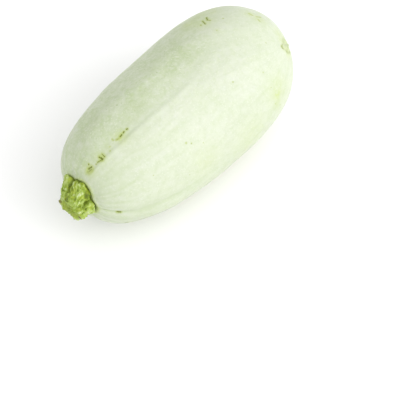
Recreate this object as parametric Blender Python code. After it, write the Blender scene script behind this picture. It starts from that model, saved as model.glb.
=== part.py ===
"""A pale vegetable marrow lying on its side, with the stub of its cut stem.

Units are metres and +Z is up. The floor is z = 0. The fruit lies along X, its stem end at -X and
its blossom end at +X. The origin is on the small flat spot that the fruit rests on.

Both pieces are spheres moved point by point with a formula: first to a shape on a straight axis
along X, where along runs from -1 at the stem pole to 1 at the blossom pole and turn is the angle
round that axis from +Y towards +Z, and then bent and set down on the floor.
"""

import math

import bmesh
import bpy
from mathutils import Vector

# Fruit. In its outline's powers, the first fills out the shoulder and the second rounds the end.
FRUIT_LENGTH = 0.188
STEM_END_RADIUS = 0.0463
BLOSSOM_END_RADIUS = 0.0495
STEM_END_POWERS = (2.65, 2.75)
BLOSSOM_END_POWERS = (3.40, 1.93)
HEIGHT_TO_WIDTH = 0.98

# Sideways bow and skew of the axis towards +Y, and its upward bend in 1/m with its level place
BOW = 0.0020
SKEW = 0.0010
BEND = 1.6
BEND_LEVEL_X = -0.018

# Shallow grooves on the stem's shoulder, nearly gone by mid-length. Each has its turn in degrees
# and its share of the full depth.
GROOVES = (
    (95, 0.35),
    (124, 0.35),
    (178, 0.90),
    (212, 0.60),
    (246, 1.00),
    (280, 0.50),
    (314, 0.90),
    (348, 0.60),
    (24, 1.00),
    (54, 0.50),
)
GROOVE_WIDTH = math.radians(8.5)
GROOVE_DEPTH = 0.0012
GROOVE_BLOSSOM_SHARE = 0.15
GROOVE_FADE = (-0.90, 0.15)
GROOVE_REACH = 0.22
WANDER = math.radians(2.5)
WANDER_ALONG = 2.1
WANDER_STEP = 1.7

# Low ribs along the top, fading towards both ends: turn in degrees and height
RIBS = ((71, 0.0006), (108, 0.0004))
RIB_WIDTH = math.radians(9)
RIB_FADE = (0.95, 0.55)

# Slight unevenness of the flesh: waves round the axis, waves along it, phase and height
BROAD_SWELL = (2, 2.6, 1.3, 0.00024)
LOCAL_SWELL = (3, -4.1, 0.4, 0.00016)
SWELL_REACH = 0.42

# Hollow in the shoulder that the stem stands in
HOLLOW_DEPTH = 0.0020
HOLLOW_RADIUS = 0.022

# Blossom scar: a low button in a shallow dent, off the axis towards -Y and up
SCAR_OFFSET = math.radians(28.5)
SCAR_FROM_ALONG = -0.3
SCAR_TOWARDS = Vector((0, -0.85, 0.53)).normalized()
SCAR_FACES = math.radians(42)
SCAR_ANGLE = math.radians(4.4)
SCAR_HEIGHT = 0.0012
SCAR_DENT = 1.4

# Setting down on the floor
AXIS_HEIGHT = 0.0450
FLOOR_SOFTNESS = 0.00035
REST_X = 0.0190

# Stem: a short thick stub of five lobes, a little pinched where it stands on the fruit
STEM_GAP = 0.0003
STEM_LENGTH = 0.0140
STEM_FOOT_RADIUS = 0.0118
STEM_CUT_RADIUS = 0.0074
STEM_TAPER = 2.2
STEM_LEAN = Vector((0, -0.0038, -0.0024))
STEM_LEAN_POWER = 1.4
PINCH_DEPTH = 0.0008
PINCH_SHARE = 0.10

# Lobes of the stem: turns of the furrows between them, from one furrow once round to itself
FURROW_TURNS = [math.radians(degrees) for degrees in (66, 153, 222, 297, 369, 426)]
LOBE_COUNT = 5
LOBE_FIRST_TURN = math.radians(112)
LOBE_FOOT_HEIGHT = 0.0032
LOBE_CUT_HEIGHT = 0.0020
LOBE_TWIST = math.radians(8)

# Unevenness of the lobes: waves round the axis, phase and share of the height
LOBE_UNEVEN = ((2, 0.8, 0.14), (3, 2.2, 0.08))

# Cut end: rounded over from a share of the length on, to nearly a full quarter of an ellipse,
# and cut slanting on one side
ROUNDED_FROM = 0.76
ROUNDED_DEPTH = 0.0032
ROUNDED_FULLNESS = 0.98
SLANT = 0.0018
SLANT_TURN = math.radians(235)

# Hollow of the dried pith in the cut face, its slope between two shares of the radius
PITH_HOLLOW = 0.0010
PITH_SLOPE = (0.15, 0.90)

# Mesh
SEGMENTS = 80
FRUIT_RINGS = 44
POLE_CROWDING = 0.4
STEM_RINGS = 20
UNDERSIDE_RINGS = 5
CUT_FACE_RINGS = 4

SKIN_COLOUR = (0.75, 0.84, 0.62, 1.0)
SKIN_ROUGHNESS = 0.42
STEM_COLOUR = (0.36, 0.48, 0.10, 1.0)
STEM_ROUGHNESS = 0.60


def clear_scene():
    for old in list(bpy.data.objects):
        bpy.data.objects.remove(old, do_unlink=True)


def smooth_step(low, high, value):
    share = min(max((value - low) / (high - low), 0.0), 1.0)
    return share * share * (3 - 2 * share)


def angle_between(turn, other):
    return (turn - other + math.pi) % (2 * math.pi) - math.pi


def direction_at(along, turn):
    """Point of the unit sphere round the straight axis."""
    ring = math.sqrt(max(1 - along * along, 0.0))
    return Vector((along, ring * math.cos(turn), ring * math.sin(turn)))


def turn_of(direction):
    return math.atan2(direction.z, direction.y)


def fruit_radius(along):
    """Radius of the plain outline, a superellipse that grows a little towards the blossom."""
    fill, rounding = STEM_END_POWERS if along < 0 else BLOSSOM_END_POWERS
    middle = (STEM_END_RADIUS + BLOSSOM_END_RADIUS) / 2
    spread = (BLOSSOM_END_RADIUS - STEM_END_RADIUS) / 2
    widest = middle + spread * math.sin(math.pi / 2 * along)
    return widest * max(1 - abs(along) ** fill, 0.0) ** (1 / rounding)


def along_at_radius(radius):
    """Where the stem end of the fruit has this radius."""
    fill, rounding = STEM_END_POWERS
    reach = radius / STEM_END_RADIUS
    return -((1 - reach ** rounding) ** (1 / fill))


def groove_depth(grown):
    """Depth of the grooves, strongest on the stem's shoulder and faint beyond mid-length."""
    along = grown.x
    turn = turn_of(grown)
    depth = 0.0
    for number, (degrees, share) in enumerate(GROOVES):
        wander = WANDER * math.sin(WANDER_ALONG * along + WANDER_STEP * number)
        off = angle_between(turn, math.radians(degrees) + wander)
        depth += share * math.exp(-((off / GROOVE_WIDTH) ** 2))
    fade = 1 - (1 - GROOVE_BLOSSOM_SHARE) * smooth_step(*GROOVE_FADE, along)
    ring = math.sqrt(max(1 - along * along, 0.0))
    return GROOVE_DEPTH * depth * fade * smooth_step(0, GROOVE_REACH, ring)


def rib_height(grown):
    height = 0.0
    for degrees, most in RIBS:
        off = angle_between(turn_of(grown), math.radians(degrees))
        height += most * math.exp(-((off / RIB_WIDTH) ** 2))
    return height * smooth_step(*RIB_FADE, abs(grown.x))


def swell(along, turn):
    height = 0.0
    for round_waves, along_waves, phase, most in (BROAD_SWELL, LOCAL_SWELL):
        height += most * math.sin(round_waves * turn + along_waves * along + phase)
    return height


def scar_relief(grown):
    """Movement of the skin at and round the blossom scar."""
    distance = math.acos(max(-1.0, min(1.0, grown.x)))
    spread = (distance / SCAR_ANGLE) ** 2
    outward = Vector((math.cos(SCAR_FACES), 0, 0)) + math.sin(SCAR_FACES) * SCAR_TOWARDS
    return SCAR_HEIGHT * (1 - SCAR_DENT * spread) * math.exp(-spread) * outward


def steer_to_scar(grown):
    """Turn the blossom half of the sphere so that its pole comes to the scar."""
    angle = SCAR_OFFSET * smooth_step(SCAR_FROM_ALONG, 1.0, grown.x)
    side = grown.dot(SCAR_TOWARDS)
    outward = side * math.cos(angle) + grown.x * math.sin(angle)
    steered = grown + (outward - side) * SCAR_TOWARDS
    steered.x = grown.x * math.cos(angle) - side * math.sin(angle)
    return steered.normalized()


def fruit_point(grown):
    """Point of the skin on the straight axis. Grown is its place on the sphere whose poles are the
    stem and the scar, between which the grooves run."""
    steered = steer_to_scar(grown)
    along = steered.x
    turn = turn_of(steered)
    radius = fruit_radius(along)
    skin = radius + swell(along, turn) * smooth_step(0, SWELL_REACH, radius / STEM_END_RADIUS)
    skin += rib_height(grown) - groove_depth(grown)
    x = along * FRUIT_LENGTH / 2
    if along < 0 and radius < HOLLOW_RADIUS:
        x += HOLLOW_DEPTH * (1 - (radius / HOLLOW_RADIUS) ** 2) ** 2
    y = BOW * along ** 2 + SKEW * along ** 3 + skin * math.cos(turn)
    return Vector((x, y, HEIGHT_TO_WIDTH * skin * math.sin(turn))) + scar_relief(grown)


def floor_press(height):
    """Flatten what would reach below the floor, with a soft edge to the flat spot."""
    if height <= -FLOOR_SOFTNESS:
        return 0.0
    if height < FLOOR_SOFTNESS:
        return (height + FLOOR_SOFTNESS) ** 2 / (4 * FLOOR_SOFTNESS)
    return height


def bend_and_set_down(point):
    """Bend the straight fruit upwards at its ends and stand it on its flat spot."""
    bend_radius = 1 / BEND
    angle = BEND * (point.x - BEND_LEVEL_X)
    x = (bend_radius - point.z) * math.sin(angle) - REST_X
    z = bend_radius - (bend_radius - point.z) * math.cos(angle) + AXIS_HEIGHT
    return Vector((x, point.y, floor_press(z)))


def place_fruit(co):
    """Move one point of the unit sphere, whose axis is Z, to the fruit's skin."""
    polar = math.acos(max(-1.0, min(1.0, -co.z)))
    polar -= POLE_CROWDING / 2 * math.sin(2 * polar)
    grown = direction_at(-math.cos(polar), math.atan2(co.y, co.x))
    return bend_and_set_down(fruit_point(grown))


def even_turn(turn):
    """Turn that would stand for this one if the furrows were evenly spaced."""
    placed = (turn - FURROW_TURNS[0]) % (2 * math.pi) + FURROW_TURNS[0]
    number = max(n for n in range(LOBE_COUNT) if FURROW_TURNS[n] <= placed)
    low = FURROW_TURNS[number]
    across = (placed - low) / (FURROW_TURNS[number + 1] - low)
    return LOBE_FIRST_TURN + 2 * math.pi / LOBE_COUNT * (number - 0.5 + across)


def lobe(turn):
    """Five rounded lobes with narrow furrows between them, from 0 to about 1."""
    uneven = 1.0
    for waves, phase, share in LOBE_UNEVEN:
        uneven += share * math.sin(waves * turn + phase)
    return abs(math.cos(LOBE_COUNT * (turn - LOBE_FIRST_TURN) / 2)) * uneven


def stem_radius(share, turn):
    """Radius of the stem, share running from 0 at the foot to 1 at the cut."""
    taper = 1 - share ** STEM_TAPER
    core = STEM_CUT_RADIUS + (STEM_FOOT_RADIUS - STEM_CUT_RADIUS) * taper
    height = LOBE_CUT_HEIGHT + (LOBE_FOOT_HEIGHT - LOBE_CUT_HEIGHT) * taper
    pinch = PINCH_DEPTH * math.exp(-((share / PINCH_SHARE) ** 2))
    rounding = max((share - ROUNDED_FROM) / (1 - ROUNDED_FROM), 0.0)
    drop = ROUNDED_DEPTH * (1 - math.sqrt(1 - ROUNDED_FULLNESS * rounding ** 2))
    return core + height * lobe(even_turn(turn) + LOBE_TWIST * share) - pinch - drop


def stem_underside(share, turn):
    """Point of the stem's underside, which follows the skin with a narrow gap."""
    along = along_at_radius(share * stem_radius(0, turn))
    point = fruit_point(direction_at(along, turn))
    point.x -= STEM_GAP
    return point


def stem_side(share, turn):
    """Point of the stem's side: the foot's outline, brought to the radius at this share."""
    foot = stem_underside(1, turn)
    middle = stem_underside(0, 0)
    point = middle.lerp(foot, stem_radius(share, turn) / stem_radius(0, turn))
    point += STEM_LEAN * share ** STEM_LEAN_POWER
    point.x = foot.x + (middle.x - STEM_LENGTH - foot.x) * share
    point.x += SLANT * max(math.cos(turn - SLANT_TURN), 0.0) * share ** 2
    return point


def stem_cut_face(share, turn):
    """Point of the cut face, share running from 0 at its edge to 1 in its middle."""
    edge = stem_side(1, turn)
    middle = stem_underside(0, 0) + STEM_LEAN
    middle.x -= STEM_LENGTH
    point = edge.lerp(middle, share)
    point.x += PITH_HOLLOW * smooth_step(*PITH_SLOPE, share)
    return point


def place_stem(co):
    """Move one point of the unit sphere, whose axis is Z, to the stem."""
    ring = STEM_RINGS * math.acos(max(-1.0, min(1.0, co.z))) / math.pi
    turn = math.atan2(co.y, co.x)
    side_rings = STEM_RINGS - UNDERSIDE_RINGS - CUT_FACE_RINGS
    up_the_side = (ring - UNDERSIDE_RINGS) / side_rings
    if up_the_side < 0:
        point = stem_underside(ring / UNDERSIDE_RINGS, turn)
    elif up_the_side <= 1:
        point = stem_side(math.sin(math.pi / 2 * up_the_side), turn)
    else:
        point = stem_cut_face((ring - UNDERSIDE_RINGS - side_rings) / CUT_FACE_RINGS, turn)
    return bend_and_set_down(point)


def shaped_sphere(name, rings, place, material, collection):
    """A UV sphere with each of its points moved by place."""
    shape = bmesh.new()
    bmesh.ops.create_uvsphere(shape, u_segments=SEGMENTS, v_segments=rings, radius=1)
    for vert in shape.verts:
        vert.co = place(vert.co)
    mesh = bpy.data.meshes.new(name)
    shape.to_mesh(mesh)
    shape.free()
    mesh.materials.append(material)
    mesh.shade_smooth()
    made = bpy.data.objects.new(name, mesh)
    collection.objects.link(made)
    return made


def plain_material(name, colour, roughness):
    material = bpy.data.materials.new(name)
    material.use_nodes = True
    surface = material.node_tree.nodes["Principled BSDF"]
    surface.inputs["Base Color"].default_value = colour
    surface.inputs["Roughness"].default_value = roughness
    surface.inputs["Metallic"].default_value = 0.0
    material.diffuse_color = colour
    return material


def build():
    clear_scene()
    collection = bpy.data.collections.new("marrow")
    bpy.context.scene.collection.children.link(collection)
    skin = plain_material("marrow_skin", SKIN_COLOUR, SKIN_ROUGHNESS)
    stem = plain_material("marrow_stem", STEM_COLOUR, STEM_ROUGHNESS)
    shaped_sphere("fruit", FRUIT_RINGS, place_fruit, skin, collection)
    shaped_sphere("stem", STEM_RINGS, place_stem, stem, collection)


build()
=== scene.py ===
"""Looks of a pale vegetable marrow with the stub of its cut stem, on a pale studio floor.

Skin and stem repeat the formulas of the part's source on a finer mesh, and add what is too small
for it: lumps, creases, puckers round the stem, the scar's rim, scratches, and the ribs, pits and
dried tips of the stem. Units are metres and +Z is up. Along runs from -1 at the stem pole to 1 at
the blossom pole, and turn is the angle round the fruit's axis, from +Y towards +Z.
"""

import math

import bpy
import numpy as np
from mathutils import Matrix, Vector


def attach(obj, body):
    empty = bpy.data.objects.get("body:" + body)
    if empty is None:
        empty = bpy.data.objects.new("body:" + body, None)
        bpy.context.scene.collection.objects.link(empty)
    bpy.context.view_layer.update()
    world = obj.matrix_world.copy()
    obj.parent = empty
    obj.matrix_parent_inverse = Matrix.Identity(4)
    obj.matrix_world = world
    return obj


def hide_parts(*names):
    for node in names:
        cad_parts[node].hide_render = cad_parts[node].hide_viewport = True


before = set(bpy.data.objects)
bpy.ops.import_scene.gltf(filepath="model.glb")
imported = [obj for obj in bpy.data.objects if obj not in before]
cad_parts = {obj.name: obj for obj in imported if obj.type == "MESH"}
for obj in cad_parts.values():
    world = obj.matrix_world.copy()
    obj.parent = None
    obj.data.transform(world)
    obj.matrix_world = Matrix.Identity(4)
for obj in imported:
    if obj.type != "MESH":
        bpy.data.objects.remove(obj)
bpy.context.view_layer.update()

# Fruit, as in the part's source
FRUIT_LENGTH = 0.188
STEM_END_RADIUS = 0.0463
BLOSSOM_END_RADIUS = 0.0495
STEM_END_POWERS = (2.65, 2.75)
BLOSSOM_END_POWERS = (3.4, 1.93)
HEIGHT_TO_WIDTH = 0.98
BOW = 0.002
SKEW = 0.001
BEND = 1.6
BEND_LEVEL_X = -0.018
GROOVES = (
    (95, 0.35),
    (124, 0.35),
    (178, 0.9),
    (212, 0.6),
    (246, 1),
    (280, 0.5),
    (314, 0.9),
    (348, 0.6),
    (24, 1),
    (54, 0.5),
)
GROOVE_WIDTH = math.radians(8.5)
GROOVE_DEPTH = 0.0012
GROOVE_BLOSSOM_SHARE = 0.15
GROOVE_FADE = (-0.9, 0.15)
GROOVE_REACH = 0.22
WANDER = math.radians(2.5)
WANDER_ALONG = 2.1
WANDER_STEP = 1.7
RIBS = ((71, 0.0006), (108, 0.0004))
RIB_WIDTH = math.radians(9)
RIB_FADE = (0.95, 0.55)
BROAD_SWELL = (2, 2.6, 1.3, 0.00024)
LOCAL_SWELL = (3, -4.1, 0.4, 0.00016)
SWELL_REACH = 0.42
HOLLOW_DEPTH = 0.002
HOLLOW_RADIUS = 0.022
SCAR_OFFSET = math.radians(28.5)
SCAR_FROM_ALONG = -0.3
SCAR_TOWARDS = np.array([0, -0.85, 0.53]) / math.hypot(0.85, 0.53)
SCAR_FACES = math.radians(42)
SCAR_ANGLE = math.radians(4.4)
SCAR_HEIGHT = 0.0012
SCAR_DENT = 1.4
AXIS_HEIGHT = 0.045
FLOOR_SOFTNESS = 0.00035
REST_X = 0.019

# Stem, as in the part's source
STEM_LENGTH = 0.014
STEM_FOOT_RADIUS = 0.0118
STEM_CUT_RADIUS = 0.0074
STEM_TAPER = 2.2
STEM_LEAN = np.array([0, -0.0038, -0.0024])
STEM_LEAN_POWER = 1.4
PINCH_DEPTH = 0.0008
PINCH_SHARE = 0.1
FURROW_TURNS = tuple(math.radians(turn) for turn in (66, 153, 222, 297, 369, 426))
LOBE_COUNT = 5
LOBE_FIRST_TURN = math.radians(112)
LOBE_FOOT_HEIGHT = 0.0032
LOBE_CUT_HEIGHT = 0.002
LOBE_TWIST = math.radians(8)
LOBE_UNEVEN = ((2, 0.8, 0.14), (3, 2.2, 0.08))
ROUNDED_FROM = 0.76
ROUNDED_DEPTH = 0.0032
ROUNDED_FULLNESS = 0.98
SLANT = 0.0018
SLANT_TURN = math.radians(235)

# Finer shape of the skin. Lumps, and unevenness below, are height, wavelength and seed. The lay is
# each point's place on an even roll, for what is drawn out lengthwise.
MILLIMETRE = 0.001
SKIN_RINGS = 248
SKIN_SEGMENTS = 400
RINGS_TO_POLES = 0.3
RINGS_TO_STEM = 0.05
SKIN_LUMPS = ((0.0001, 0.03, 11), (0.00004, 0.011, 12))
STREAK_LUMPS = (0.000035, 0.0045, 13)
LAY_LENGTH = 0.02
LAY_RADIUS = 0.047

# Creases along the bottoms of the grooves
CREASE_WIDTH = math.radians(2.4)
CREASE_DEPTH = 0.0003
CREASE_UNEVEN = (0.4, 0.02, 14)

# Low step along the top, and the painted highlight along the crest beside it
STEP_TURN = math.radians(101.5)
STEP_SWING = math.radians(24)
STEP_HEIGHT = 0.00052
STEP_SHARP = math.radians(2)
STEP_SOFTER = math.radians(3.5)
STEP_NEAR_SHARE = 0.45
STEP_NEAR = math.radians(7)
STEP_FAR = math.radians(22)
STEP_LOWER = 0.5
STEP_UNEVEN = (0.22, 0.035, 16)
CREST_OFF = math.radians(1.2)
CREST_WIDTH = math.radians(2.2)

# Puckers round the stem: count, phase and share of each
PUCKERS = ((17, 0.4, 0.5), (26, 1.9, 0.6), (39, 4, 0.4), (58, 2.7, 0.25))
PUCKER_HEIGHT = 0.0001
PUCKER_UNEVEN = (0.5, 0.024, 17)

# Rays, the creases that run out from the stem over the shoulder: turn in degrees, the along where
# each ends, depth in millimetres
RAYS = (
    (108, -0.84, 0.1),
    (117, -0.35, 0.09),
    (133, -0.86, 0.14),
    (141, -0.72, 0.13),
    (151, -0.85, 0.15),
    (160, -0.76, 0.12),
    (169, -0.88, 0.14),
    (182, -0.45, 0.1),
    (190, -0.86, 0.12),
    (200, -0.78, 0.13),
    (226, -0.82, 0.14),
    (262, -0.84, 0.12),
    (297, -0.8, 0.14),
    (333, -0.84, 0.12),
    (5, -0.8, 0.14),
    (38, -0.86, 0.12),
    (74, -0.84, 0.12),
    (84, -0.88, 0.12),
)
RAY_WIDTH = 0.0011
RAY_WANDER = math.radians(2.2)
RAY_FADE = 0.06
RAY_START = (0.012, 0.016)
# How strongly the rays are darkened, as painted shade, along with the creases
RAY_SHADE = 4.5

# Lip of skin round the foot of the stem
LIP_HEIGHT = 0.0009
LIP_WIDTH = 0.0016
LIP_OFF = 0.0012
LIP_UNEVEN = 0.2

# Blossom scar, with distances in degrees from its pole, and the place flattened beside it: depth,
# distance, width, turn and spread
SCAR_RIM = 4.6
SCAR_RIM_UNEVEN = 0.3
SCAR_RIM_WIDTH = 0.85
SCAR_RIM_DEPTH = 0.00065
SCAR_RIM_LEAST = 0.08
# The rim is stronger on its lower side, where its brown also stands for the shadow line under the
# scar as painted shade
SCAR_LOWER_RIM_AND_SHADE = 0.42
SCAR_LOWER_TURN = math.radians(175)
SCAR_LOWER_WIDTH = 1.1
STAR_HEIGHT = 0.0003
SCAR_ROUGHNESS = (0.00022, 0.0022, 15)
FLATTENED = (0.0005, 12, 6, math.radians(60), 0.8)

# Corners of the scar's rim: turn in degrees, reach in degrees from the pole, width in degrees
SCAR_CORNERS = ((108, 2.8, 17), (252, 1.3, 24))

# Where the skin is paler, partly its bloom of wax and partly painted light on the side that faces
# the key light, where it lies, and how far the marks' edges spread
BLOOM_AND_LIGHT_TURN = math.radians(118)
BLOOM_AND_LIGHT_WIDTH = math.radians(42)
GROUND_MIDDLE = -0.002
MARK_SPREAD = 1.3

# Finer shape of the stem. Bands round it are height, place and shift from lobe to lobe as shares
# of its length, and length.
STEM_SEGMENTS = 420
UNDERSIDE_RINGS = 6
SIDE_RINGS = 120
CUT_FACE_RINGS = 44
STEM_SINK = 0.0007
RIB_HEIGHT = 0.00036
RIBS_PER_LOBE = 1.5
RIB_SWIRL = 0.22
RIB_WANDER = (0.07, 0.007, 21)
RIB_UNEVEN = (0.3, 0.006, 28)
KNOBS = ((0.00026, 0.0048, 22), (0.00022, 0.0024, 23), (0.00013, 0.0012, 24))
PIT_DEPTH = 0.0014
PIT_UNEVEN = 0.0004
PIT_WIDTH = math.radians(8.5)
PIT = (1, 0.36, 0.08, 0.19)
KNUCKLE = (0.0009, 0.22, 0, 0.13)
WAIST = (0.0006, 0.64, 0.05, 0.14)
CREVICE = (0.0011, 0, 0, 0.055)
TIP_WIDTH = math.radians(8)
TIP_LENGTH = 0.07
TIP_HEIGHT = 0.0013
TIP_REACH = 0.0008
EDGE_UNEVEN = (0.0005, 0.006, 25)

# Cut face, with the ring of bundles as shares of the way from its edge to its middle
PITH_HOLLOW = 0.0014
CUT_ROUGHNESS = ((0.00035, 0.0022, 26), (0.0004, 0.0045, 27))
BUNDLES = 10
BUNDLES_AT = 0.3

# Tone of the stem, from 0 in dark pits to 1 on pale ribs, partly its own colour and partly painted
# shade in furrows, pits and the crevice at its foot and painted highlight on raised ribs, knobs and
# knuckles, and how dried its tips are
TONE = 0.62
FURROW_SHADE_WIDTH = math.radians(9)
LIGHT_AND_SHADE_PER_RIB_HEIGHT = 420
LIGHT_AND_SHADE_PER_KNOB_HEIGHT = 300
KNUCKLE_TONE_AND_HIGHLIGHT = (0.2, 0.25, 0, 0.12)
FOOT_CREVICE_SHADE = (-0.75, 0, 0, 0.07)
CUT_TONE = 0.4
CUT_LIGHT_AND_SHADE_PER_HEIGHT = 350
TIPS_DRY = 1.15
STEM_LAY_RADIUS = 0.012

# Dried brown tips of the stem's lobes: share of the length, turn in degrees, size
DRY_TIPS = (
    (0.87, 349, 1),
    (0.97, 190, 0.9),
    (0.94, 250, 0.7),
    (0.92, 300, 0.6),
    (0.96, 28, 0.4),
)

# Ridges and pits of the stem, each from one place to another, a place being a share of the length
# and a turn in degrees. Then come the half width and the height in millimetres, and how much
# lighter or darker it is, partly the stem's own colour and partly painted highlight on ridges and
# painted shade in pits. One with a height of 0 only colours.
STEM_FEATURES = (
    ((0.25, 47), (0.46, 42), 1.3, 0.25, 0.4),
    ((0.4, 57), (0.5, 61), 0.95, -0.9, -0.75),
    ((0.5, 61), (0.69, 70), 0.8, -0.7, -0.7),
    ((0.7, 38), (0.76, 39), 0.6, -0.35, -0.6),
    ((0.34, 6), (0.62, 14), 0.8, 0.2, 0.3),
    ((0.3, 72), (0.5, 84), 0.6, 0.25, 0.35),
    ((0.5, 84), (0.7, 97), 0.55, 0.25, 0.3),
    ((0.24, 88), (0.5, 101), 0.5, -0.35, -0.5),
    ((0.27, 100), (0.45, 115), 0.7, 0.2, 0.1),
    ((0.33, 124), (0.44, 130), 0.8, -0.3, -0.55),
    ((0.5, 109), (0.92, 119), 0.65, 0.25, 0.15),
    ((0.55, 128), (0.8, 140), 0.5, -0.3, -0.35),
    ((0.86, 148), (0.93, 160), 0.8, 0.15, 0.45),
    ((0.36, 150), (0.64, 156), 1.05, -0.5, -0.6),
    ((0.53, 163), (0.58, 166), 0.5, -0.6, -0.7),
    ((0.22, 163), (0.36, 174), 0.75, 0.3, 0.4),
    ((0.4, 182), (0.75, 184), 0.8, 0.25, 0.25),
    ((0.8, 80), (0.95, 70), 1, -0.15, -0.25),
    ((0.07, 50), (0.14, 84), 1.05, -0.2, -1.4),
    ((0.12, 57), (0.24, 56), 1.1, 0.8, -0.1),
    ((0.14, 84), (0.15, 96), 0.5, -0.1, -0.6),
    ((0.13, 110), (0.11, 146), 0.8, -0.2, -1.1),
    ((0.11, 146), (0.07, 176), 1, -0.3, -1.4),
    ((0.07, 176), (0.16, 192), 0.75, -0.2, -1),
    ((0.92, 311), (1, 332), 2, -1.5, 0.2),
    ((0.1, 197), (0.36, 196), 1.7, -1.3, 0.1),
    ((0.58, 37), (0.86, 22), 1.5, 0.7, 0.15),
    ((0.8, 300), (0.92, 262), 2.6, 0, 0.35),
    ((0.62, 205), (0.86, 226), 1.4, 0, 0.35),
    ((0.6, 140), (0.66, 196), 2.2, 0, 0.22),
    ((0.12, 45), (0.32, 44), 1.7, -0.15, -0.5),
    ((0.22, 100), (0.3, 140), 1.2, 0, -0.25),
    ((0.3, 71), (0.53, 88), 0.45, 0.18, 0.45),
    ((0.24, 86), (0.32, 97), 0.5, 0.12, 0.35),
    ((0.42, 100), (0.55, 112), 0.5, 0.2, 0.45),
    ((0.41, 112), (0.41, 122), 0.6, 0.15, 0.5),
    ((0.71, 94), (0.86, 92), 0.5, 0.15, 0.4),
    ((0.69, 110), (0.87, 114), 0.45, 0.18, 0.45),
    ((0.66, 124), (0.84, 129), 0.5, 0.18, 0.5),
    ((0.28, 158), (0.43, 167), 0.55, 0.15, 0.55),
    ((0.14, 165), (0.1, 182), 0.5, 0.1, 0.4),
    ((0.5, 186), (0.6, 187), 0.6, 0.15, 0.55),
    ((0.86, 157), (0.8, 200), 0.5, 0.12, 0.45),
    ((0.64, 52), (0.66, 44), 0.5, 0.2, 0.6),
    ((0.37, 33), (0.14, 45), 0.55, 0.1, 0.3),
    ((0.37, 61), (0.69, 76), 1.2, -0.3, -0.45),
    ((0.6, 30), (0.74, 45), 0.6, -0.2, -0.6),
    ((0.9, 56), (0.96, 79), 0.8, -0.1, -0.5),
    ((0.41, 122), (0.38, 132), 0.55, -0.2, -0.45),
    ((0.47, 147), (0.68, 155), 0.9, -0.1, -0.1),
    ((0.57, 164), (0.59, 165), 0.4, -0.4, -1),
    ((0.69, 144), (0.8, 147), 0.5, -0.18, -0.4),
    ((0.6, 97), (0.78, 103), 0.4, -0.18, -0.45),
    ((0.56, 118), (0.8, 122), 0.4, -0.18, -0.45),
    ((0.22, 97), (0.34, 108), 0.45, -0.18, -0.45),
    ((0.26, 122), (0.34, 138), 0.5, -0.18, -0.4),
    ((0.2, 172), (0.34, 178), 0.45, -0.18, -0.4),
    ((0.13, 50), (0.24, 66), 1.3, 0, -0.6),
    ((0.2, 72), (0.31, 84), 1.1, 0, -0.55),
    ((0.44, 68), (0.56, 84), 1.2, -0.15, -0.65),
    ((0.14, 121), (0.33, 133), 1.4, 0, -0.95),
    ((0.22, 103), (0.3, 110), 1.1, 0, -0.28),
    ((0.9, 79), (0.78, 105), 1.3, 0, -0.62),
    ((0.97, 341), (0.95, 320), 1.3, 0, 0.4),
    ((0.51, 148), (0.66, 152), 1.1, 0, 0.42),
    ((0.32, 150), (0.34, 148), 0.9, 0, 0.28),
    ((1, 288), (1, 275), 1.4, 0, 0.38),
    ((1, 218), (0.96, 225), 1.4, 0, 0.38),
    ((0.24, 164), (0.37, 170), 1.2, -0.1, -0.55),
    ((0.31, 1), (0.36, 358), 1.1, 0, 0.3),
    ((0.08, 192), (0.14, 194), 0.9, 0, 0.32),
    ((0.54, 186), (0.5, 180), 1.2, 0, -0.2),
)

# Marks of the skin, each from one place to another, a place being along and turn in degrees.
# Then come its half width in millimetres, its depth in millimetres and how dark it is.
MARKS = (
    ((-0.944, 96.6), (-0.924, 98.4), 1.05, 0.14, 0.22),
    ((-0.929, 94.4), (-0.915, 96.2), 0.6, 0.18, 1),
    ((-0.913, 90.6), (-0.914, 90.9), 0.4, 0.06, 0.85),
    ((-0.887, 99), (-0.886, 99.2), 0.34, 0.05, 0.5),
    ((-0.846, 96), (-0.843, 98.6), 0.46, 0.14, 0.95),
    ((-0.843, 98.6), (-0.842, 100.8), 0.58, 0.18, 1.2),
    ((-0.842, 101), (-0.874, 98.8), 0.44, 0.1, 0.6),
    ((-0.821, 96), (-0.822, 100.6), 0.42, 0.1, 0.65),
    ((-0.773, 100.2), (-0.771, 100.2), 0.3, 0.04, 0.3),
    ((-0.755, 96.8), (-0.751, 96.8), 0.3, 0.04, 0.3),
    ((-0.706, 93), (-0.706, 94.4), 0.34, 0.06, 0.85),
    ((-0.692, 96.4), (-0.668, 97.2), 0.42, 0.08, 0.6),
    ((-0.656, 96.9), (-0.641, 96.6), 0.5, 0.12, 1.15),
    ((-0.622, 96.3), (-0.614, 96), 0.44, 0.1, 1.05),
    ((-0.588, 96), (-0.582, 96.1), 0.42, 0.08, 1),
    ((0.502, 51.6), (0.516, 57.2), 0.4, 0.1, 0.64),
    ((0.54, 48.4), (0.54, 52.4), 0.46, 0.1, 0.7),
    ((0.54, 52.4), (0.561, 54.2), 0.38, 0.08, 0.62),
    ((0.477, 55.8), (0.48, 56.8), 0.3, 0.05, 0.45),
    ((-0.9, 181.4), (-0.886, 181.7), 0.48, 0.4, 1.5),
    ((-0.819, 217.8), (-0.806, 216), 0.4, 0.12, 1),
    ((0.842, 40.6), (0.863, 41.8), 0.45, 0.3, 0.5),
    ((0.886, 40.4), (0.905, 37.2), 0.42, 0.3, 0.7),
    ((0.897, 47), (0.904, 49.8), 0.4, 0.1, 0.25),
    ((0.989, 105), (0.991, 109), 0.55, 0.2, 0.75),
)

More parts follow.
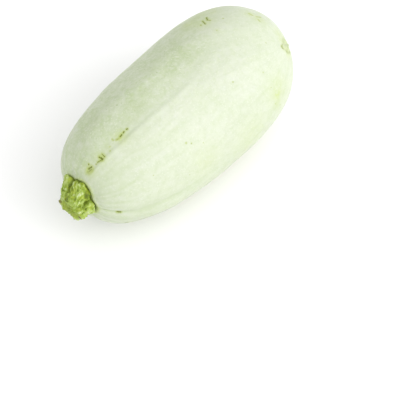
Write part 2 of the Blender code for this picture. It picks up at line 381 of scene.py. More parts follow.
# Small specks, marks without a length: along, turn in degrees, radius in millimetres
SPECKS = (
    (-0.31, 136.6, 0.42),
    (-0.277, 139.6, 0.3),
    (0.563, 118.8, 0.32),
    (0.804, 177.6, 0.3),
    (0.812, 189.8, 0.26),
    (0.797, 197.4, 0.28),
    (0.662, 55.2, 0.36),
    (0.917, 91.8, 0.3),
    (0.842, 127.6, 0.28),
    (0.845, 152, 0.22),
    (-0.631, 144.8, 0.22),
    (-0.384, 164, 0.2),
    (-0.183, 145.4, 0.2),
    (0.589, 69.4, 0.24),
    (0.1, 288, 0.34),
    (0.36, 305, 0.26),
    (-0.42, 262, 0.3),
    (-0.2, 18, 0.32),
    (0.22, 352, 0.28),
    (-0.58, 40, 0.26),
)
MARKS += tuple(((along, turn), (along, turn), size, 0.08, 0.40) for along, turn, size in SPECKS)

# Yellow-green patches, some of them painted shade along the upper rim where the skin turns from
# the light, the rest the skin's own: along, turn in degrees, radius in millimetres, strength
YELLOW_PATCHES_AND_RIM_SHADE = (
    (0.852, 170.8, 5, 0.85),
    (0.812, 181.4, 4.5, 0.45),
    (0.869, 166.6, 10, 0.45),
    (-0.93, 97.4, 4, 1.1),
    (-0.842, 98.8, 3.7, 1.1),
    (-0.771, 97.2, 3.4, 0.35),
    (-0.655, 97.4, 4.4, 1),
    (0.502, 54, 6.5, 0.6),
    (0.589, 69.4, 2.6, 0.35),
    (0.897, 44.4, 4.5, 0.55),
    (0.852, 42.4, 4.5, 0.5),
    (0.407, 181, 15, 0.3),
    (-0.217, 161.6, 12, 0.26),
    (0.991, 46, 5, 0.55),
    (0.996, 164, 3, 0.55),
    (0.401, 46, 6.5, 0.6),
    (0.497, 40, 6.5, 0.6),
    (0.566, 38, 6, 0.5),
    (-0.1, 20, 12, 0.35),
    (0.35, 330, 14, 0.4),
)

# Darker green patches, some of them painted shade along the upper rim and on the shoulder by the
# stem, the rest the skin's own: along, turn in degrees, radius in millimetres, strength
GREEN_PATCHES_AND_SHADE = (
    (-0.41, 87.2, 6.5, 0.7),
    (-0.526, 92.6, 5, 0.5),
    (-0.27, 82, 5, 0.45),
    (-0.665, 62, 6, 0.35),
    (-0.683, 109.5, 7.5, 0.34),
    (-0.6, 108.5, 8, 0.4),
    (-0.52, 108, 8, 0.34),
    (-0.42, 107.5, 7, 0.18),
    (0.1, 58, 6, 0.18),
    (0.25, 55, 6.5, 0.32),
    (0.34, 48, 7.5, 0.42),
    (0.45, 40, 7.5, 0.58),
    (0.58, 32, 7.5, 0.52),
    (0.7, 28, 7, 0.44),
    (0.253, 78, 7, 0.35),
    (-0.08, 68, 7, 0.35),
    (0.502, 50, 6, 0.25),
    (-0.84, 112, 11, 0.3),
    (-0.704, 184, 10, 0.22),
    (-0.3, 245, 12, 0.4),
    (0.1, 262, 9, 0.4),
    (-0.52, 350, 8, 0.4),
    (0.55, 20, 9, 0.35),
)

# Colours, as linear red, green and blue
SKIN_GREEN = (0.522, 0.572, 0.426)
SKIN_PALE = (0.552, 0.594, 0.464)
WAX_BLOOM_AND_LIGHT = (0.566, 0.596, 0.494)
WIDE_STREAK = (0.462, 0.532, 0.350)
THIN_STREAK = (0.450, 0.525, 0.325)
FLANK_SHADE_GREEN = (0.480, 0.545, 0.330)
NET_GREEN = (0.400, 0.480, 0.275)
GRAIN_GREEN = (0.428, 0.508, 0.290)
PALE_DAPPLE = (0.600, 0.632, 0.528)
PORE_GREEN = (0.330, 0.410, 0.190)
PALE_FLECK = (0.620, 0.650, 0.550)
GROOVE_SHADE_GREEN = (0.428, 0.502, 0.322)
PAINTED_CREST_HIGHLIGHT = (0.645, 0.690, 0.570)
CREASE_SHADE_GREEN = (0.390, 0.480, 0.240)
PATCH_AND_SHADE_YELLOW = (0.450, 0.535, 0.165)
PATCH_AND_SHADE_GREEN = (0.375, 0.448, 0.235)
MARGIN_AND_CREVICE_SHADE = (0.405, 0.490, 0.120)
GROUND_CREAM = (0.570, 0.540, 0.300)
MARK_HALO = (0.365, 0.435, 0.105)
MARK_DARK = (0.080, 0.110, 0.013)
MARK_OLIVE = (0.200, 0.240, 0.042)
SCAR_BROWN = (0.190, 0.220, 0.075)
PIT_GREEN_AND_SHADE = (0.115, 0.160, 0.002)
STEM_GREEN = (0.245, 0.345, 0.024)
RIB_GREEN = (0.388, 0.498, 0.122)
DRIED_RIB_AND_HIGHLIGHT = (0.545, 0.620, 0.335)
STEM_YELLOW = (0.345, 0.420, 0.014)
SPECK_GREEN = (0.055, 0.075, 0.006)
STRAW_GREEN = (0.230, 0.310, 0.018)
STRAW_PALE = (0.460, 0.540, 0.110)
TIP_BROWN = (0.095, 0.086, 0.012)
TIP_PALE = (0.270, 0.245, 0.052)
FLOOR_GREYS = ((0.88, 0.88, 0.88), (0.90, 0.90, 0.90))

# Camera, as fitted to the photo's outline of the fruit
CAMERA_AZIMUTH = math.radians(-45.79)
CAMERA_ELEVATION = math.radians(58)
CAMERA_DISTANCE = 1.0152
CAMERA_RIGHT = 0.0122
CAMERA_UP = -0.0579
CAMERA_TARGET = Vector((0, 0, 0.045))
FOCAL_LENGTH = 135
SENSOR_WIDTH = 36

# Light of the room: an even glow, and glows from some sides, each with tightness and strength
EVEN_GLOW = 0.15
GLOWS = (
    ((0, 0, 1), 1.0, 0.98),
    ((1, 0, 0.15), 2.0, 0.72),
    ((-1, 0, 0.15), 2.0, 0.76),
    ((0, -1, 0.15), 2.0, 0.56),
    ((0.38, -0.80, 0.46), 13.0, 3.74),
)


def smooth_step(low, high, value):
    share = np.clip((value - low) / (high - low), 0, 1)
    return share * share * (3 - 2 * share)


def angle_between(turn, other):
    return (turn - other + np.pi) % (2 * np.pi) - np.pi


def bell(value, width):
    return np.exp(-((value / width) ** 2))


def waves(points, wavelength, seed, count=28):
    """Smooth unevenness of about unit size: waves in random directions, the same each run."""
    draw = np.random.default_rng(seed)
    directions = draw.normal(size=(count, 3))
    directions /= np.linalg.norm(directions, axis=1, keepdims=True)
    lengths = wavelength * draw.uniform(0.7, 1.6, count)
    phases = draw.uniform(0, 2 * np.pi, count)
    total = np.zeros(points.shape[:-1])
    for direction, length, phase in zip(directions, lengths, phases):
        total += np.sin(points @ (direction * 2 * np.pi / length) + phase)
    return total / math.sqrt(count / 2)


def lumps(points, *forms):
    """Unevenness from forms that are each a height, a wavelength and a seed."""
    return sum(height * waves(points, wavelength, seed) for height, wavelength, seed in forms)


def round_axis(x, radius, turn):
    return np.stack([x, radius * np.cos(turn), radius * np.sin(turn)], axis=-1)


def ring_radius(along):
    """Radius of the unit sphere at this along."""
    return np.sqrt(np.maximum(1 - along ** 2, 0))


def direction_at(along, turn):
    return round_axis(along + 0 * turn, ring_radius(along), turn)


def turn_of(direction):
    return np.arctan2(direction[..., 2], direction[..., 1])


def fruit_radius(along):
    stem_end = along < 0
    fill = np.where(stem_end, STEM_END_POWERS[0], BLOSSOM_END_POWERS[0])
    rounding = np.where(stem_end, STEM_END_POWERS[1], BLOSSOM_END_POWERS[1])
    middle = (STEM_END_RADIUS + BLOSSOM_END_RADIUS) / 2
    spread = (BLOSSOM_END_RADIUS - STEM_END_RADIUS) / 2
    widest = middle + spread * np.sin(np.pi / 2 * along)
    return widest * np.maximum(1 - np.abs(along) ** fill, 0) ** (1 / rounding)


def along_at_radius(radius):
    fill, rounding = STEM_END_POWERS
    reach = radius / STEM_END_RADIUS
    return -((1 - reach ** rounding) ** (1 / fill))


def groove_shape(grown, width):
    """Grooves of this width, 1 where the strongest are deepest."""
    along = grown[..., 0]
    turn = turn_of(grown)
    shape = np.zeros(along.shape)
    for number, (degrees, share) in enumerate(GROOVES):
        wander = WANDER * np.sin(WANDER_ALONG * along + WANDER_STEP * number)
        off = angle_between(turn, math.radians(degrees) + wander)
        shape += share * bell(off, width)
    fade = 1 - (1 - GROOVE_BLOSSOM_SHARE) * smooth_step(*GROOVE_FADE, along)
    return shape * fade * smooth_step(0, GROOVE_REACH, ring_radius(along))


def rib_height(grown):
    height = 0
    for degrees, most in RIBS:
        off = angle_between(turn_of(grown), math.radians(degrees))
        height = height + most * bell(off, RIB_WIDTH)
    return height * smooth_step(*RIB_FADE, np.abs(grown[..., 0]))


def swell(along, turn):
    height = 0
    for round_waves, along_waves, phase, most in (BROAD_SWELL, LOCAL_SWELL):
        height = height + most * np.sin(round_waves * turn + along_waves * along + phase)
    return height


def scar_relief(grown):
    distance = np.arccos(np.clip(grown[..., 0], -1, 1))
    spread = (distance / SCAR_ANGLE) ** 2
    outward = np.array([math.cos(SCAR_FACES), 0, 0]) + math.sin(SCAR_FACES) * SCAR_TOWARDS
    return (SCAR_HEIGHT * (1 - SCAR_DENT * spread) * np.exp(-spread))[..., None] * outward


def steer_to_scar(grown):
    angle = SCAR_OFFSET * smooth_step(SCAR_FROM_ALONG, 1.0, grown[..., 0])
    side = grown @ SCAR_TOWARDS
    outward = side * np.cos(angle) + grown[..., 0] * np.sin(angle)
    steered = grown + (outward - side)[..., None] * SCAR_TOWARDS
    steered[..., 0] = grown[..., 0] * np.cos(angle) - side * np.sin(angle)
    return steered / np.linalg.norm(steered, axis=-1, keepdims=True)


def fruit_point(grown):
    """Point of the plain skin on the straight axis."""
    steered = steer_to_scar(grown)
    along = steered[..., 0]
    turn = turn_of(steered)
    radius = fruit_radius(along)
    skin = radius + swell(along, turn) * smooth_step(0, SWELL_REACH, radius / STEM_END_RADIUS)
    skin = skin + rib_height(grown) - GROOVE_DEPTH * groove_shape(grown, GROOVE_WIDTH)
    hollow = HOLLOW_DEPTH * (1 - np.minimum(radius / HOLLOW_RADIUS, 1) ** 2) ** 2
    x = along * FRUIT_LENGTH / 2 + np.where(along < 0, hollow, 0)
    y = BOW * along ** 2 + SKEW * along ** 3 + skin * np.cos(turn)
    z = HEIGHT_TO_WIDTH * skin * np.sin(turn)
    return np.stack([x, y, z], axis=-1) + scar_relief(grown)


def floor_press(height):
    soft = (height + FLOOR_SOFTNESS) ** 2 / (4 * FLOOR_SOFTNESS)
    pressed = np.where(height < FLOOR_SOFTNESS, soft, height)
    return np.where(height <= -FLOOR_SOFTNESS, 0, pressed)


def bend_and_set_down(point):
    bend_radius = 1 / BEND
    angle = BEND * (point[..., 0] - BEND_LEVEL_X)
    x = (bend_radius - point[..., 2]) * np.sin(angle) - REST_X
    z = bend_radius - (bend_radius - point[..., 2]) * np.cos(angle) + AXIS_HEIGHT
    return np.stack([x, point[..., 1], floor_press(z)], axis=-1)


def skin_place(along, degrees):
    """Place of the skin as set down, from along and turn in degrees."""
    return bend_and_set_down(fruit_point(direction_at(along, math.radians(degrees))))


def outward_normals(grid):
    """Normals of a closed grid of rings whose first and last rings are poles."""
    down = np.gradient(grid, axis=0)
    round_it = np.roll(grid, -1, axis=1) - np.roll(grid, 1, axis=1)
    normals = np.cross(down, round_it)
    length = np.linalg.norm(normals, axis=-1, keepdims=True)
    normals = normals / np.maximum(length, 1e-12)
    for pole, ring in ((0, 1), (-1, -2)):
        mean = normals[ring].mean(axis=0)
        normals[pole] = mean / np.linalg.norm(mean)
    middle = grid.mean(axis=(0, 1))
    outward = ((grid - middle) * normals).sum(axis=-1).mean()
    return normals * np.sign(outward)


def distance_to_line(points, start, end):
    line = end - start
    share = np.clip((points - start) @ line / max(line @ line, 1e-18), 0, 1)
    return np.linalg.norm(points - start - share[..., None] * line, axis=-1)


def closed_mesh(name, grid, masks, material):
    """A closed mesh from a grid of rings whose first and last rings are poles."""
    rings, segments = grid.shape[:2]
    count = (rings - 2) * segments

    def flat(values):
        middle = values[1:-1].reshape(count, *values.shape[2:])
        return np.concatenate([values[:1, 0], middle, values[-1:, 0]])

    points = flat(grid)
    ring = np.arange(rings - 3)[:, None] * segments + 1
    here = np.arange(segments)[None, :]
    after = (here + 1) % segments
    corners = [ring + here, ring + after, ring + segments + after, ring + segments + here]
    quads = np.stack(corners, axis=-1).reshape(-1, 4)
    last = count + 1
    far = 1 + (rings - 3) * segments
    caps = [(0, 1 + (n + 1) % segments, 1 + n) for n in range(segments)]
    caps += [(last, far + n, far + (n + 1) % segments) for n in range(segments)]
    mesh = bpy.data.meshes.new(name)
    mesh.from_pydata(points.tolist(), [], quads.tolist() + caps)
    for mask, values in masks.items():
        vector = values.ndim == 3
        layer = mesh.attributes.new(mask, "FLOAT_VECTOR" if vector else "FLOAT", "POINT")
        numbers = flat(values).astype(np.float32).ravel()
        layer.data.foreach_set("vector" if vector else "value", numbers)
    mesh.materials.append(material)
    mesh.shade_smooth()
    mesh.validate()
    piece = bpy.data.objects.new(name, mesh)
    bpy.context.scene.collection.objects.link(piece)
    return piece


class Nodes:
    """Short ways to add nodes to a tree."""

    def __init__(self, tree):
        self.tree = tree

    def put(self, socket, value):
        if isinstance(value, bpy.types.NodeSocket):
            self.tree.links.new(value, socket)
        elif socket.type == "RGBA":
            socket.default_value = (*value, 1.0)
        else:
            socket.default_value = value

    def node(self, kind, inputs=(), **settings):
        made = self.tree.nodes.new("ShaderNode" + kind)
        for name, value in settings.items():
            setattr(made, name, value)
        for name, value in dict(inputs).items():
            self.put(made.inputs[name], value)
        return made

    def math(self, operation, first, second=0.0, third=0.0):
        inputs = {0: first, 1: second, 2: third}
        return self.node("Math", inputs, operation=operation).outputs[0]

    def times(self, first, second):
        return self.math("MULTIPLY", first, second)

    def scaled(self, value, factor, offset):
        return self.math("MULTIPLY_ADD", value, factor, offset)

    def vector_math(self, operation, first, second=(0, 0, 0), output="Vector"):
        inputs = {0: first, 1: second}
        return self.node("VectorMath", inputs, operation=operation).outputs[output]


class Look(Nodes):
    """A Principled material, its colour mixed layer by layer."""

    def __init__(self, name):
        self.material = bpy.data.materials.new(name)
        self.material.use_nodes = True
        super().__init__(self.material.node_tree)
        self.place = self.node("TexCoord").outputs["Object"]

    def set(self, **values):
        for name, value in values.items():
            socket = name.replace("_", " ")
            self.put(self.tree.nodes["Principled BSDF"].inputs[socket], value)

    def attribute(self, name, output="Fac"):
        return self.node("Attribute", attribute_name=name).outputs[output]

    def drawn_out(self, factor):
        """The mesh's lay, shortened so that noise on it is drawn out lengthwise."""
        return self.vector_math("MULTIPLY", self.attribute("lay", "Vector"), (factor, 1, 1))

    def noise(self, scale, detail, roughness=0.5, vector=None, output="Fac"):
        inputs = {
            "Vector": self.place if vector is None else vector,
            "Scale": scale,
            "Detail": detail,
            "Roughness": roughness,
        }
        return self.node("TexNoise", inputs).outputs[output]

    def clouds(self, scale, detail, roughness, low, high, vector=None):
        """Noise raised so that it is 0 at the low value and 1 at the high one."""
        return self.ramp(self.noise(scale, detail, roughness, vector), low, high)

    def cloudy(self, name, *form):
        """An attribute of the mesh, broken up by clouds."""
        return self.times(self.attribute(name), self.clouds(*form))

    def cells(self, vector, scale, full, gone, feature="F1"):
        """Random cells, 1 at their middles, or with DISTANCE_TO_EDGE at their edges."""
        inputs = {"Vector": vector, "Scale": scale}
        made = self.node("TexVoronoi", inputs, feature=feature)
        return self.ramp(made.outputs["Distance"], full, gone, 1.0, 0.0)

    def ramp(self, value, low, high, start=0.0, end=1.0):
        inputs = {"Value": value, 1: low, 2: high, 3: start, 4: end}
        made = self.node("MapRange", inputs, interpolation_type="SMOOTHSTEP")
        return made.outputs["Result"]

    def mix(self, share, first, second):
        made = self.node("Mix", data_type="RGBA")
        for socket, value in ((0, share), (6, first), (7, second)):
            self.put(made.inputs[socket], value)
        return made.outputs[2]

    def tint(self, base, mask, strength, tone):
        return self.mix(self.times(mask, strength), base, tone)

    def bump(self, height, distance):
        inputs = {"Height": height, "Distance": distance}
        return self.node("Bump", inputs).outputs["Normal"]


def mark_shape(look):
    """Scratches and specks: over 0 inside them, with a ragged edge, and falling outside."""
    most = None
    for start, end, half_width, _, strength in MARKS:
        first = skin_place(*start)
        line = skin_place(*end) - first
        from_start = look.vector_math("SUBTRACT", look.place, tuple(first))
        if line.any():
            onto = tuple(line / (line @ line))
            share = look.vector_math("DOT_PRODUCT", from_start, onto, "Value")
            share = look.node("Clamp", {"Value": share}).outputs[0]
            inputs = {0: tuple(line), "Scale": share}
            along = look.node("VectorMath", inputs, operation="SCALE").outputs[0]
            from_start = look.vector_math("SUBTRACT", from_start, along)
        distance = look.vector_math("LENGTH", from_start, output="Value")
        value = look.scaled(distance, -1 / (half_width * MILLIMETRE), 0.45 + strength)
        most = value if most is None else look.math("MAXIMUM", most, value)
    return look.math("ADD", most, look.scaled(look.noise(1400, 3, 0.7), 2.2, -1.1))


def plain_skin(look):
    """Pale green, uneven, whiter where the wax blooms and, as painted light, on the side facing the
    key light, with wide soft streaks and thin ones.
    """
    base = look.mix(look.clouds(26, 3, 0.6, 0.32, 0.70), SKIN_GREEN, SKIN_PALE)
    # Paler where the wax blooms, which also serves as painted light on the side that faces the key
    # light
    bloom_and_light = look.cloudy("bloom_and_light", 30, 2, 0.5, 0.20, 0.55)
    base = look.tint(base, bloom_and_light, 0.80, WAX_BLOOM_AND_LIGHT)
    wide = look.clouds(120, 3, 0.6, 0.42, 0.72, look.drawn_out(0.16))
    base = look.tint(base, wide, 0.36, WIDE_STREAK)
    thin = look.clouds(460, 3, 0.6, 0.44, 0.70, look.drawn_out(0.12))
    return look.tint(base, thin, 0.16, THIN_STREAK)


def mottled_skin(look, base, flecks):
    """Mottling all over, and on the shaded flank a darker green tint that is painted shade, with a
    net of darker green and small dark pores.
    """
    wave = look.noise(240, 2, output="Color")
    wave = look.vector_math("SUBTRACT", wave, (0.5, 0.5, 0.5))
    wave = look.vector_math("MULTIPLY", wave, (0.003, 0.003, 0.003))
    warped = look.vector_math("ADD", look.place, wave)
    mottle_and_flank_shade = look.attribute("mottle_and_flank_shade")
    # Painted shade: the flank that faces away from the key light is tinted darker green
    base = look.tint(base, mottle_and_flank_shade, 0.16, FLANK_SHADE_GREEN)
    net = look.cells(warped, 300, 0.02, 0.30, "DISTANCE_TO_EDGE")
    net = look.times(net, look.times(mottle_and_flank_shade, look.clouds(85, 3, 0.6, 0.38, 0.62)))
    base = look.tint(base, net, 0.62, NET_GREEN)
    grain = look.times(look.clouds(430, 4, 0.75, 0.42, 0.66), look.scaled(mottle_and_flank_shade, 0.44, 0.28))
    base = look.mix(grain, base, GRAIN_GREEN)
    base = look.tint(base, look.clouds(210, 2, 0.5, 0.42, 0.62), 0.28, PALE_DAPPLE)
    pores = look.times(look.cells(warped, 260, 0.10, 0.22), look.clouds(210, 2, 0.5, 0.50, 0.62))
    base = look.mix(look.times(pores, look.scaled(mottle_and_flank_shade, 0.50, 0.12)), base, PORE_GREEN)
    return look.tint(base, flecks, 0.52, PALE_FLECK)


def grooved_skin(look, base):
    """Painted shade, a little greener, in the grooves, their creases, the rays from the stem and at
    the foot of the step, and a paler painted highlight along the step's top edge.
    """
    # Painted shade at the foot of the step and in the grooves
    foot = look.cloudy("step", 110, 3, 0.5, 0.30, 0.62)
    groove_shade = look.math("MAXIMUM", look.times(look.attribute("groove_shade"), 0.40), foot)
    base = look.tint(base, groove_shade, 0.42, GROOVE_SHADE_GREEN)
    # Painted highlight: a paler line along the crest of the step
    crest_highlight = look.cloudy("crest_highlight", 120, 3, 0.5, 0.25, 0.60)
    base = look.tint(base, crest_highlight, 0.38, PAINTED_CREST_HIGHLIGHT)
    # Painted shade in the creases and the rays from the stem
    return look.tint(base, look.attribute("crease_and_shade"), 0.42, CREASE_SHADE_GREEN)


def patched_skin(look, base):
    """Blotchy yellow-green and green patches, some of them painted shade, the stem's margin, partly
    painted shade in the crevice, and the creamy spot it lies on.
    """
    blotchy = look.scaled(look.clouds(330, 5, 0.75, 0.34, 0.64), 0.65, 0.35)
    base = look.tint(base, look.times(look.attribute("patch_and_shade"), blotchy), 0.85, PATCH_AND_SHADE_YELLOW)
    base = look.tint(base, look.times(look.attribute("green"), blotchy), 0.80, PATCH_AND_SHADE_GREEN)
    # The stem's margin is darker green: partly the skin's own, partly painted shade in the crevice
    # round the stem's foot
    base = look.tint(base, look.attribute("margin"), 0.72, MARGIN_AND_CREVICE_SHADE)
    ground = look.cloudy("ground", 60, 4, 0.6, 0.25, 0.62)
    return look.tint(base, ground, 0.60, GROUND_CREAM)


def skin_look():
    look = Look("marrow_skin")
    flecks = look.cells(look.place, 560, 0.14, 0.34)
    base = mottled_skin(look, plain_skin(look), flecks)
    base = patched_skin(look, grooved_skin(look, base))

    # Scratches and specks are dark olive, and the blossom scar is dried and brown-green
    mark = mark_shape(look)
    base = look.tint(base, look.ramp(mark, -2.6, 0.5), 0.65, MARK_HALO)
    core = look.ramp(mark, 0.0, 0.85)
    base = look.tint(base, core, 0.92, look.mix(look.noise(900, 2), MARK_DARK, MARK_OLIVE))
    scar = look.cloudy("scar", 900, 4, 0.7, 0.25, 0.60)
    base = look.tint(base, scar, 0.95, SCAR_BROWN)

    # Waxy gloss, a little uneven, dull on scratches and the scar, with the fine grain of the wax
    gloss = look.scaled(look.noise(500, 3), 0.14, 0.36)
    rough = look.scaled(look.math("MAXIMUM", core, scar), 0.30, gloss)
    wax = look.noise(900, 4, 0.6, look.drawn_out(0.45))
    height = look.scaled(core, -0.8, look.scaled(flecks, 0.5, wax))
    look.set(Base_Color=base, Roughness=rough, Normal=look.bump(height, 0.00005))
    look.set(Subsurface_Weight=0.12, Subsurface_Radius=(1.0, 1.2, 0.5), Subsurface_Scale=0.003)
    look.set(IOR=1.45, Specular_IOR_Level=0.28)
    return look.material


def stem_look():
    look = Look("marrow_stem")

    # Tone, from dark green pits over mid green to pale dried ribs, broken by fibres and blotches.
    # The darkest and palest tones are partly painted shade in pits and furrows and painted
    # highlight on ribs
    fibres = look.noise(1150, 4, 0.65, look.drawn_out(0.18))
    tone = look.scaled(look.math("SUBTRACT", fibres, 0.5), 1.9, look.attribute("tone"))
    blotches = look.math("SUBTRACT", look.noise(420, 4, 0.65), 0.5)
    tone = look.scaled(blotches, 1.2, tone)
    base = look.mix(look.ramp(tone, -0.15, 0.50), PIT_GREEN_AND_SHADE, STEM_GREEN)
    base = look.mix(look.ramp(tone, 0.40, 0.90), base, RIB_GREEN)
    base = look.mix(look.ramp(tone, 0.85, 1.35), base, DRIED_RIB_AND_HIGHLIGHT)
    base = look.tint(base, look.clouds(240, 2, 0.5, 0.50, 0.66), 0.50, STEM_YELLOW)
    base = look.tint(base, look.clouds(1500, 3, 0.6, 0.62, 0.70), 0.50, SPECK_GREEN)

    # Straw-coloured cut face and dried brown tips
    straw = look.mix(look.noise(700, 4, 0.7), STRAW_GREEN, STRAW_PALE)
    base = look.tint(base, look.attribute("cut"), 0.6, straw)
    dried = look.math("ADD", look.attribute("dry"), look.scaled(look.noise(800, 3, 0.7), 1.0, -0.5))
    brown = look.mix(look.noise(1400, 2), TIP_BROWN, TIP_PALE)
    base = look.mix(look.ramp(dried, 0.35, 0.80), base, brown)

    height = look.scaled(fibres, 1.3, look.noise(2200, 3, 0.6))
    look.set(Base_Color=base, Roughness=look.scaled(look.noise(900, 3), 0.25, 0.45))
    look.set(Normal=look.bump(height, 0.00028))
    look.set(Subsurface_Weight=0.05, Subsurface_Radius=(0.8, 1.0, 0.3), Subsurface_Scale=0.002)
    return look.material


def patches_at(points, patches):
    """The strongest of these patches at each point."""
    most = np.zeros(points.shape[:-1])
    for along, degrees, size, strength in patches:
        off = np.linalg.norm(points - skin_place(along, degrees), axis=-1)
        most = np.maximum(most, strength * bell(off, size * MILLIMETRE))
    return most


def top_step(along, turn, points):
    """Height of the step along the top, higher towards -Y, and masks of the painted shade at its
    foot and of the painted highlight along its top edge.
    """
    off = angle_between(turn, STEP_TURN - STEP_SWING * smooth_step(-0.1, 0.95, along))
    sharp = STEP_SHARP + STEP_SOFTER * smooth_step(-0.2, 0.5, along)
    rising = smooth_step(-sharp, sharp, off)
    falling = STEP_NEAR_SHARE * bell(np.maximum(off, 0), STEP_NEAR)
    falling += (1 - STEP_NEAR_SHARE) * bell(off, STEP_FAR)
    present = smooth_step(-0.99, -0.93, along) * smooth_step(0.88, 0.40, along)
    present = present * (1 - STEP_LOWER * smooth_step(-0.5, 0.15, along))
    height = STEP_HEIGHT * rising * falling * present * (1 + lumps(points, STEP_UNEVEN))
    foot = bell(off + 0.5 * sharp, sharp) * present
    crest_highlight = bell(off - sharp - CREST_OFF, CREST_WIDTH) * present * smooth_step(0.7, 0.1, along)
    return height, foot, crest_highlight


def shoulder_puckers(along, turn, radius, points):
    pucker = np.zeros(along.shape)
    for count, phase, share in PUCKERS:
        sway = 1.2 * np.sin(6 * along + phase)
        pucker += share * np.sin(count * turn + phase + sway)
    near = smooth_step(0.040, 0.020, radius) * smooth_step(0.010, 0.014, radius)
    return PUCKER_HEIGHT * pucker * near * (0.7 + lumps(points, PUCKER_UNEVEN))


def shoulder_rays(along, turn, radius):
    """Depth of the rays in millimetres."""
    first = RAY_START[0]
    started = smooth_step(*RAY_START, radius)
    lines = np.zeros(along.shape)
    for number, (degrees, last, depth) in enumerate(RAYS):
        wander = RAY_WANDER * np.sin(14 * along + 2.6 * number)
        off = angle_between(turn, math.radians(degrees) + wander) * np.maximum(radius, first)
        fade = smooth_step(last + RAY_FADE, last - RAY_FADE, along)
        lines = np.maximum(lines, depth * bell(off, RAY_WIDTH) * fade * started)
    return lines


def stem_lip(turn, radius):
    """Height of the lip of skin that follows the lobes of the stem, and the mask of its margin,
    whose darker green is partly painted shade in the crevice round the stem's foot.
    """
    beyond = radius - stem_radius(0.0, turn)
    uneven = 1 - LIP_UNEVEN + LIP_UNEVEN * np.sin(9 * turn + 1)
    lip = LIP_HEIGHT * bell(beyond - LIP_OFF, LIP_WIDTH) * uneven
    return lip, smooth_step(0.0034, 0.0006, beyond)


def scar_rim(turn, distance):
    """Where the torn rim of the blossom scar runs, and how strong it is at each point."""
    rim_at = SCAR_RIM + SCAR_RIM_UNEVEN * np.sin(3 * turn + 1)
    corners = np.zeros(turn.shape)
    for degrees, reach, width in SCAR_CORNERS:
        corner = bell(angle_between(turn, math.radians(degrees)), math.radians(width))
        rim_at += reach * corner
        corners = np.maximum(corners, corner)
    # Stronger rim on the lower side: partly the torn rim, partly painted shade under the scar
    lower_side = bell(angle_between(turn, SCAR_LOWER_TURN), SCAR_LOWER_WIDTH)
    strength = np.maximum(SCAR_RIM_LEAST + SCAR_LOWER_RIM_AND_SHADE * lower_side, corners)
    return rim_at, bell(distance - rim_at, SCAR_RIM_WIDTH) * strength


def scar_surroundings(turn, distance, points):
    """Height of the radial creases and roughness of the scar, and of a flattened place by it."""
    star = np.abs(np.sin(4.5 * turn + 0.6)) ** 0.6 - 0.6
    near = smooth_step(13, 6.5, distance) * smooth_step(0, 2.0, distance)
    rough = lumps(points, SCAR_ROUGHNESS) * smooth_step(7, 3, distance)
    depth, away, width, middle, spread = FLATTENED
    flattened = depth * bell(distance - away, width) * bell(angle_between(turn, middle), spread)
    return STAR_HEIGHT * star * near + rough - flattened


def mark_depth(set_down):
    """Depth of scratches and specks."""
    total = np.zeros(set_down.shape[:-1])
    for start, end, half_width, depth, _ in MARKS:
        off = distance_to_line(set_down, skin_place(*start), skin_place(*end))
        total += depth * MILLIMETRE * bell(off, half_width * MILLIMETRE * MARK_SPREAD)
    return total


def skin_relief(grown, points):
    """Height of the finer shape over the plain skin, and masks that colour it."""
    along = grown[..., 0]
    turn = turn_of(grown)
    radius = np.linalg.norm(points[..., 1:], axis=-1)
    stem_end = along < 0
    distance = np.degrees(np.arccos(np.clip(along, -1, 1)))
    set_down = bend_and_set_down(points)
    lay = round_axis(along * LAY_LENGTH, LAY_RADIUS, turn)

    relief = lumps(points, *SKIN_LUMPS) + lumps(lay, STREAK_LUMPS)
    relief = relief * smooth_step(0.05, 0.30, ring_radius(along))
    broken = 0.6 + lumps(points, CREASE_UNEVEN)
    crease_and_shade = groove_shape(grown, CREASE_WIDTH) * broken * smooth_step(-0.1, -0.8, along)
    step, step_foot_shade, crest_highlight = top_step(along, turn, points)
    puckers = shoulder_puckers(along, turn, radius, points)
    lines = shoulder_rays(along, turn, radius)
    lip, margin = stem_lip(turn, radius)
    rim_at, rim = scar_rim(turn, distance)
    relief += step - CREASE_DEPTH * crease_and_shade - MILLIMETRE * lines - mark_depth(set_down)
    relief += np.where(stem_end, puckers + lip, 0)
    relief += scar_surroundings(turn, distance, points) - SCAR_RIM_DEPTH * rim

    inside = 0.16 * smooth_step(rim_at, rim_at - 3, distance)
    halo = 0.6 * smooth_step(rim_at + 4, rim_at, distance)
    off_ground = np.abs(set_down[..., 0] - GROUND_MIDDLE)
    ground = smooth_step(0.022, 0.001, set_down[..., 2]) * smooth_step(0.075, 0.045, off_ground)
    # Paler towards the key light: partly the wax bloom, partly painted light
    bloom_and_light = bell(angle_between(turn, BLOOM_AND_LIGHT_TURN), BLOOM_AND_LIGHT_WIDTH) * smooth_step(-0.94, -0.66, along)
    # The flank turned away from the key light, for the mottle and for its painted shade
    flank = smooth_step(103, 79, np.degrees(turn) % 360)
    return relief, {
        "lay": lay,
        "groove_shade": groove_shape(grown, 0.7 * GROOVE_WIDTH),
        "crease_and_shade": np.maximum(crease_and_shade, RAY_SHADE * lines),
        "step": step_foot_shade,
        "crest_highlight": crest_highlight,
        "bloom_and_light": bloom_and_light,
        "mottle_and_flank_shade": flank * smooth_step(0.65, 0.15, along),
        "patch_and_shade": np.maximum(patches_at(set_down, YELLOW_PATCHES_AND_RIM_SHADE), halo),
        "green": patches_at(set_down, GREEN_PATCHES_AND_SHADE),
        "margin": np.where(stem_end, margin, 0),
        "scar": np.maximum(rim, inside),
        "ground": ground,
    }


